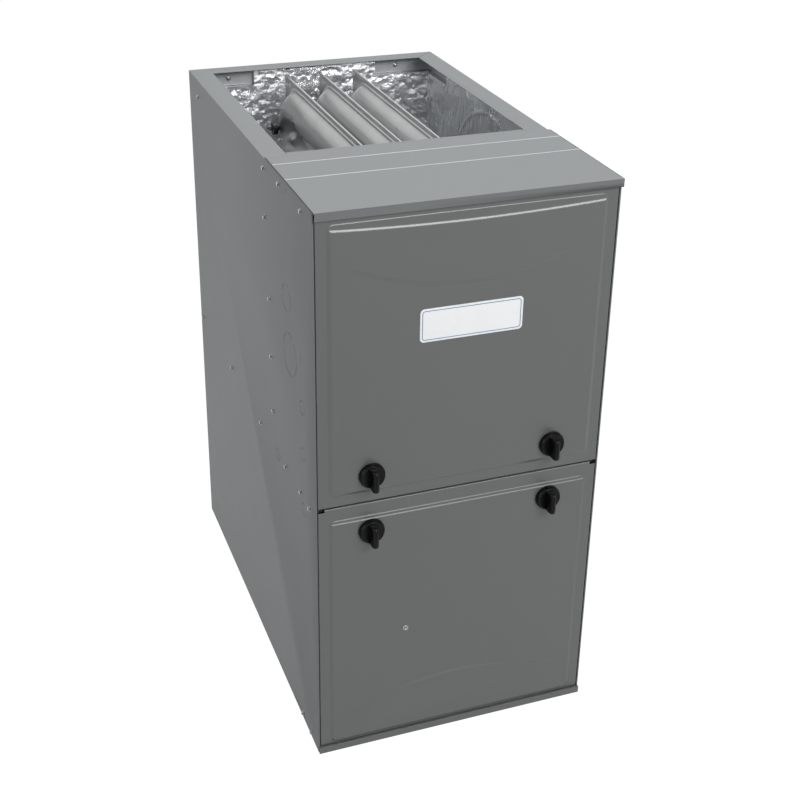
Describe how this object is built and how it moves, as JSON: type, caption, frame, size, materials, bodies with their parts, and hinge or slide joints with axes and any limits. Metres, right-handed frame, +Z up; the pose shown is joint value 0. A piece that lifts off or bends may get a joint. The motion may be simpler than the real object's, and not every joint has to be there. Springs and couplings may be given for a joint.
{
  "type": "forced air gas furnace",
  "caption": "Upright grey cabinet furnace with lift-off front doors held by turning knobs, an open supply air top and clamshell heat exchanger cells.",
  "frame": {"origin": "bottom centre of the whole object's box, knobs included, on the floor", "axes": "+Z up, -Y out of the front doors, +X to the right seen from the front"},
  "size_m": [0.4444, 0.7584, 0.8916],
  "materials": {
    "paint": "satin grey enamel",
    "door_paint": "satin grey enamel, a shade darker",
    "galvanised": "galvanised sheet",
    "aluminised": "aluminised steel",
    "foil": "crinkled foil facing",
    "stainless": "stainless sheet",
    "black_plastic": "semi-gloss black",
    "grey_plastic": "matte grey",
    "white_plate": "gloss white",
    "zinc": "bright zinc plate",
    "motor_black": "black enamel",
    "cast_zinc": "die cast",
    "black_pipe": "black iron pipe",
    "red_plastic": "red",
    "board_green": "solder mask",
    "ceramic": "unglazed ceramic",
    "rubber": "matte",
    "white_pipe": "white pipe",
    "fibre": "coated glass fibre"
  },
  "bodies": {
    "cabinet": {"casing_wrapper": "paint", "top_plate": "paint", "base_rail": "door_paint", "base_pan": "galvanised", "blower_deck": "galvanised", "middle_rail": "galvanised", "vestibule_panel": "galvanised", "insulation_left": "foil", "insulation_right": "foil", "insulation_back": "foil", "duct_bracket_left": "paint", "duct_bracket_right": "paint", "primary_cell_left": "aluminised", "primary_cell_middle": "aluminised", "primary_cell_right": "aluminised", "condensing_coil": "stainless", "coupling_box": "stainless", "collector_box": "black_plastic", "limit_switch": "black_plastic", "inducer_housing": "black_plastic", "inducer_motor": "motor_black", "vent_pipe": "white_pipe", "condensate_trap": "black_plastic", "drain_tube": "rubber", "pressure_switch": "grey_plastic", "pressure_hose": "rubber", "burner_box": "galvanised", "burner_left": "aluminised", "burner_middle": "aluminised", "burner_right": "aluminised", "gas_manifold": "black_pipe", "gas_valve": "cast_zinc", "igniter": "ceramic", "flame_sensor": "ceramic", "rollout_switch": "black_plastic", "blower_housing": "galvanised", "blower_motor": "motor_black", "motor_mount": "galvanised", "run_capacitor": "zinc", "wiring_grommet": "rubber", "control_bracket": "galvanised", "control_board": "board_green", "transformer": "motor_black", "door_switch": "black_plastic", "valve_lead": "rubber", "blower_lead": "rubber"},
    "upper_door": {"upper_door": "door_paint", "badge_plate": "white_plate"},
    "lower_door": {"lower_door": "door_paint", "lower_door_liner": "fibre", "lower_door_screw": "zinc"},
    "upper_knob_left": {"upper_knob_left": "black_plastic"},
    "upper_knob_right": {"upper_knob_right": "black_plastic"},
    "lower_knob_left": {"lower_knob_left": "black_plastic"},
    "lower_knob_right": {"lower_knob_right": "black_plastic"},
    "gas_valve_knob": {"gas_valve_knob": "black_plastic"},
    "rollout_reset_button": {"rollout_reset_button": "red_plastic"},
    "door_switch_plunger": {"door_switch_plunger": "white_plate"},
    "inducer_wheel": {"inducer_wheel": "stainless"},
    "blower_wheel": {"blower_wheel": "galvanised"}
  },
  "joints": [
    {"name": "upper_door_lift_off", "type": "slide", "parent": "cabinet", "child": "upper_door", "axis": [0, -1, 0], "range_m": [0, 0.45]},
    {"name": "lower_door_lift_off", "type": "slide", "parent": "cabinet", "child": "lower_door", "axis": [0, -1, 0], "range_m": [0, 0.45]},
    {"name": "upper_knob_left_turn", "type": "hinge", "parent": "upper_door", "child": "upper_knob_left", "pos_m": [-0.14, -0.35325, 0.488], "axis": [0, 1, 0], "range_deg": [0, 90]},
    {"name": "upper_knob_right_turn", "type": "hinge", "parent": "upper_door", "child": "upper_knob_right", "pos_m": [0.14, -0.35325, 0.488], "axis": [0, 1, 0], "range_deg": [0, 90]},
    {"name": "lower_knob_left_turn", "type": "hinge", "parent": "lower_door", "child": "lower_knob_left", "pos_m": [-0.14, -0.35325, 0.395], "axis": [0, 1, 0], "range_deg": [0, 90]},
    {"name": "lower_knob_right_turn", "type": "hinge", "parent": "lower_door", "child": "lower_knob_right", "pos_m": [0.14, -0.35325, 0.395], "axis": [0, 1, 0], "range_deg": [0, 90]},
    {"name": "gas_valve_knob_turn", "type": "hinge", "parent": "cabinet", "child": "gas_valve_knob", "pos_m": [0.15, -0.30575, 0.705], "axis": [0, 1, 0], "range_deg": [0, 90]},
    {"name": "rollout_reset_press", "type": "slide", "parent": "cabinet", "child": "rollout_reset_button", "axis": [0, 0, 1], "range_m": [0, 0.002], "stiffness_N_per_m": 200},
    {"name": "door_switch_press", "type": "slide", "parent": "cabinet", "child": "door_switch_plunger", "axis": [0, 1, 0], "range_m": [0, 0.004], "stiffness_N_per_m": 300},
    {"name": "inducer_spin", "type": "hinge", "parent": "cabinet", "child": "inducer_wheel", "pos_m": [-0.01, -0.25475, 0.5794], "axis": [0, 1, 0], "continuous": true},
    {"name": "blower_spin", "type": "hinge", "parent": "cabinet", "child": "blower_wheel", "pos_m": [0, 0.07925, 0.236], "axis": [1, 0, 0], "continuous": true}
  ]
}
